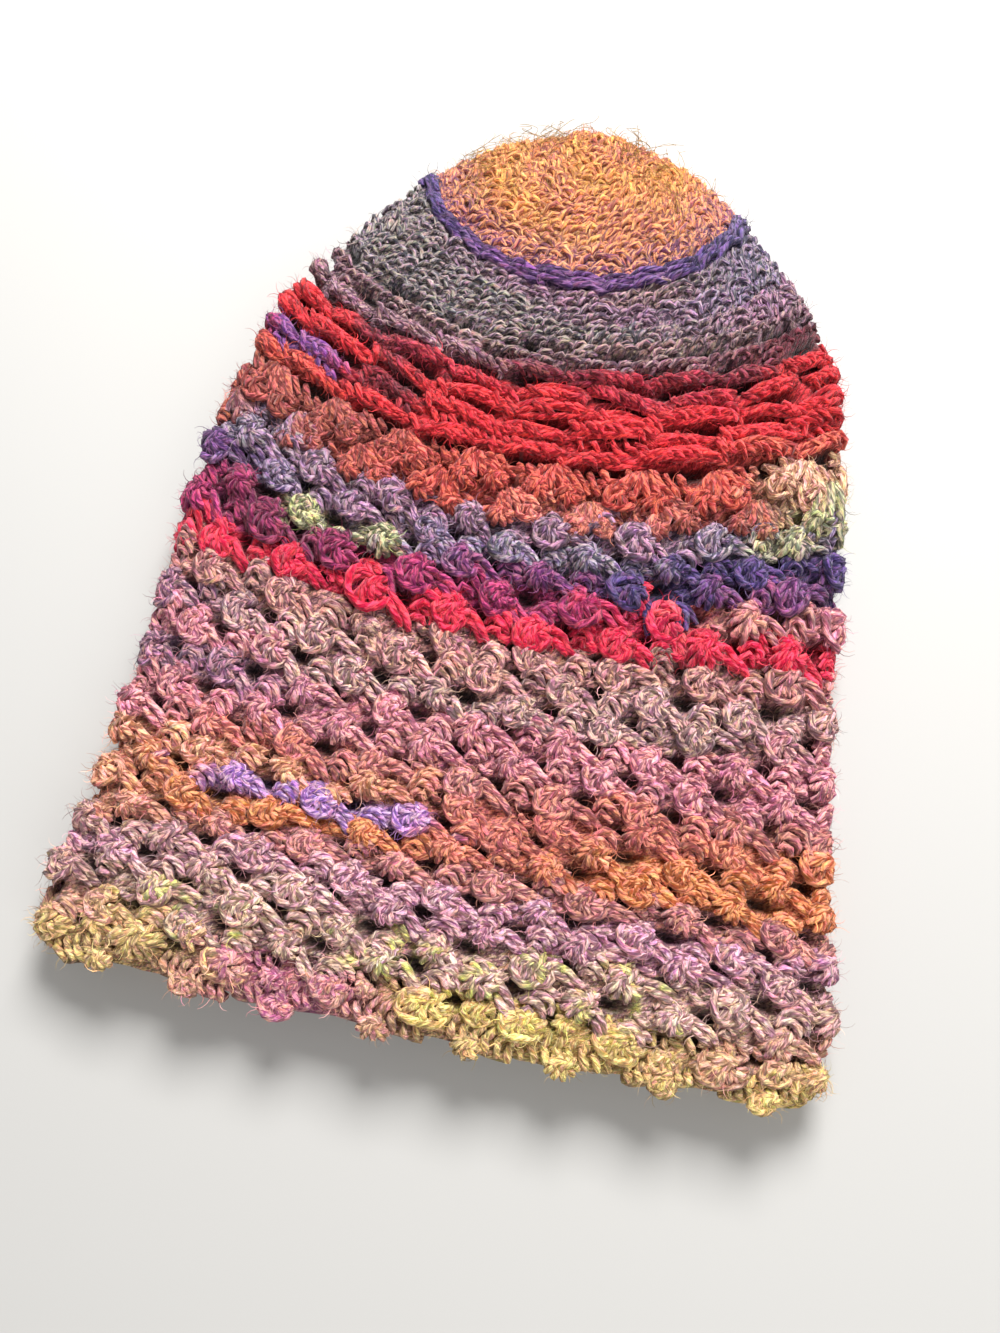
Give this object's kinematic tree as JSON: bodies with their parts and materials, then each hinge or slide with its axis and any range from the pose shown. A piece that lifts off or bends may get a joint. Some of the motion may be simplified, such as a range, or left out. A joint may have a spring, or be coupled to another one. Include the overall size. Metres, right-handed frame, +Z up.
{
  "type": "crochet hat",
  "caption": "Long loose crochet hat lying flat: a hollow tube of textured knitted rounds, closed by a round crown and open at a scalloped hem.",
  "frame": {"origin": "middle of the base of the bounding box, on the surface that the hat lies on", "axes": "+Z up from the underside, +Y from the open hem towards the crown, +X to the right seen from above"},
  "size_m": [0.2644, 0.3524, 0.0327],
  "materials": {
    "hem_yarn": "soft heathered wool yarn, fuzzy and matt",
    "flecked_yarn": "soft heathered wool yarn, fuzzy and matt",
    "mauve_yarn": "soft heathered wool yarn, fuzzy and matt",
    "orange_yarn": "soft heathered wool yarn, fuzzy and matt",
    "rose_yarn": "soft heathered wool yarn, fuzzy and matt",
    "tan_yarn": "soft heathered wool yarn, fuzzy and matt",
    "crimson_yarn": "soft heathered wool yarn, fuzzy and matt",
    "purple_yarn": "soft heathered wool yarn, fuzzy and matt",
    "salmon_yarn": "soft heathered wool yarn, fuzzy and matt",
    "red_yarn": "soft heathered wool yarn, fuzzy and matt",
    "grey_mauve_yarn": "soft heathered wool yarn, fuzzy and matt",
    "indigo_yarn": "soft heathered wool yarn, fuzzy and matt",
    "golden_yarn": "soft heathered wool yarn, fuzzy and matt"
  },
  "bodies": {
    "root": {"hem_scallops": "hem_yarn", "flecked_bobbles": "flecked_yarn", "mauve_bobbles": "mauve_yarn", "orange_bobbles": "orange_yarn", "rose_bobbles": "rose_yarn", "tan_bobbles": "tan_yarn", "crimson_shells": "crimson_yarn", "purple_shells": "purple_yarn", "salmon_shells": "salmon_yarn", "red_ridges": "red_yarn", "crown_ridges": "grey_mauve_yarn", "crown_stripe": "indigo_yarn", "crown_disc": "golden_yarn"}
  },
  "joints": []
}
